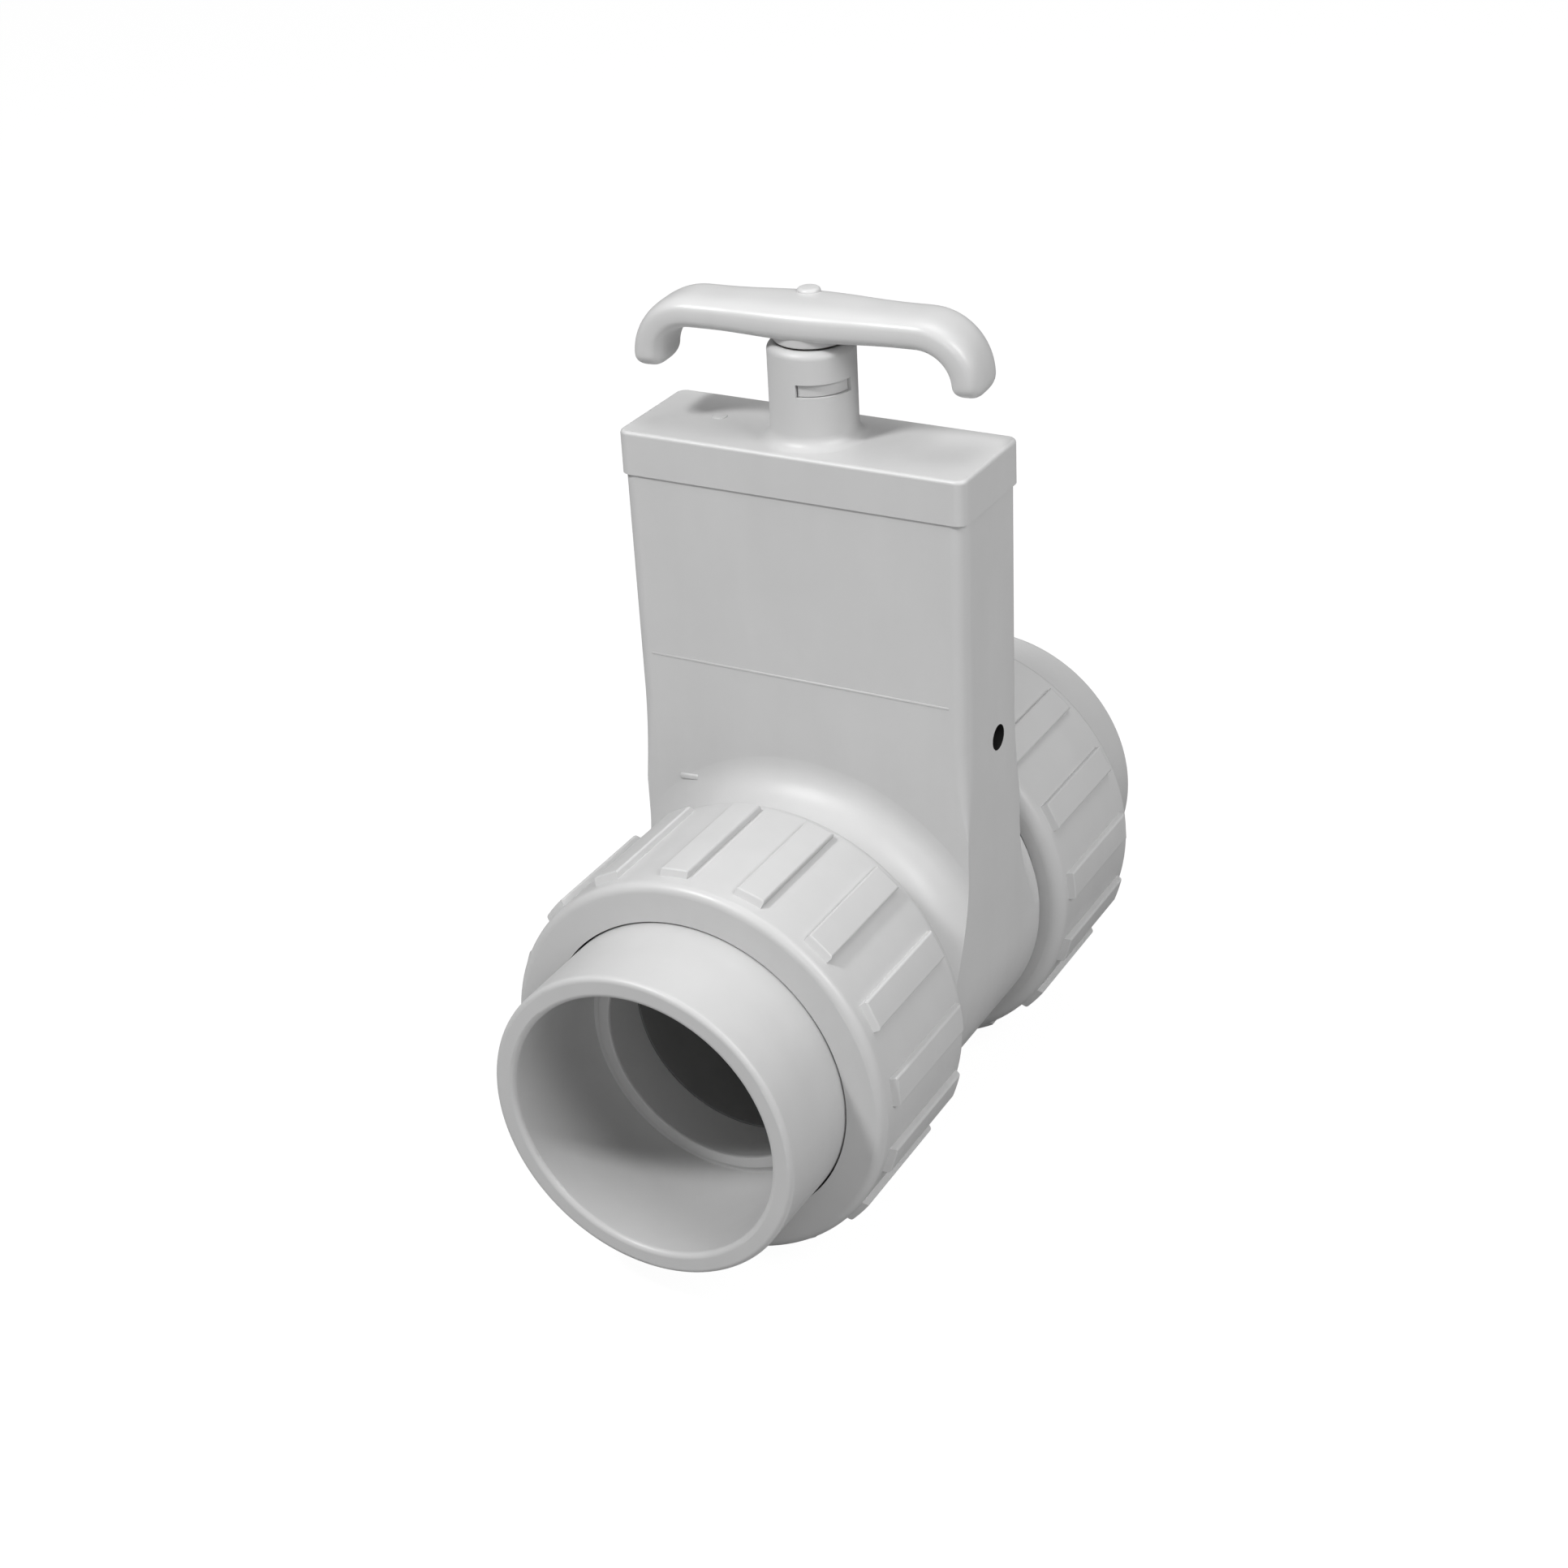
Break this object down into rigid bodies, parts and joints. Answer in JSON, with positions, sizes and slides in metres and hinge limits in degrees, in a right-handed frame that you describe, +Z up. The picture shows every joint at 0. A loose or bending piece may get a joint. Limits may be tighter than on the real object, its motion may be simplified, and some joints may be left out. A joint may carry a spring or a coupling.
{
  "type": "slide valve",
  "caption": "Moulded slide valve with a flat blade on a pull-up T-handle, a capped flat housing and a ribbed union nut with a slip socket at each end.",
  "frame": {"origin": "under the middle of the valve, on the surface that the two union nuts stand on; the flow axis is 45.45 mm above it", "axes": "+Z up along the stem, +Y along the flow axis towards the rear socket, +X along the handle bar towards the side with the small port"},
  "size_m": [0.0908, 0.1754, 0.1941],
  "materials": {
    "housing_plastic": "satin moulded white plastic",
    "tail_plastic": "satin moulded white plastic",
    "nut_plastic": "satin moulded white plastic",
    "handle_plastic": "glossier moulded white plastic",
    "bush_plastic": "natural acetal",
    "blade_plastic": "dark grey moulded plastic",
    "lining_plastic": "dark grey moulded plastic",
    "seal_rubber": "black rubber",
    "stem_steel": "drawn stainless steel",
    "insert_brass": "turned brass"
  },
  "bodies": {
    "housing": {"valve_body": "housing_plastic", "bonnet": "housing_plastic", "bonnet_gasket": "seal_rubber", "stem_bush": "bush_plastic", "stem_orings": "seal_rubber", "front_seat_ring": "seal_rubber", "front_seat_sleeve": "lining_plastic", "front_sleeve_oring": "seal_rubber", "front_union_oring": "seal_rubber", "rear_seat_ring": "seal_rubber", "rear_seat_sleeve": "lining_plastic", "rear_sleeve_oring": "seal_rubber", "rear_union_oring": "seal_rubber"},
    "gate": {"gate_blade": "blade_plastic", "stem_rod": "stem_steel", "stem_pins": "stem_steel", "handle_insert": "insert_brass", "t_handle": "handle_plastic"},
    "front_tail": {"front_tailpiece": "tail_plastic"},
    "front_nut": {"front_union_nut": "nut_plastic"},
    "rear_tail": {"rear_tailpiece": "tail_plastic"},
    "rear_nut": {"rear_union_nut": "nut_plastic"}
  },
  "joints": [
    {"name": "gate_lift", "type": "slide", "parent": "housing", "child": "gate", "axis": [0, 0, 1], "range_m": [0, 0.059]},
    {"name": "front_union_slide", "type": "slide", "parent": "housing", "child": "front_tail", "axis": [0, -1, 0], "range_m": [0, 0.0161]},
    {"name": "front_nut_spin", "type": "hinge", "parent": "front_tail", "child": "front_nut", "pos_m": [0, -0.046, 0.04545], "axis": [0, -1, 0], "range_deg": [0, 1440]},
    {"name": "rear_union_slide", "type": "slide", "parent": "housing", "child": "rear_tail", "axis": [0, 1, 0], "range_m": [0, 0.0161]},
    {"name": "rear_nut_spin", "type": "hinge", "parent": "rear_tail", "child": "rear_nut", "pos_m": [0, 0.046, 0.04545], "axis": [0, 1, 0], "range_deg": [0, 1440]}
  ],
  "couplings": [
    {"joint": "front_union_slide", "follows": "front_nut_spin", "m_per_rad": 0.00063662},
    {"joint": "rear_union_slide", "follows": "rear_nut_spin", "m_per_rad": 0.00063662}
  ]
}
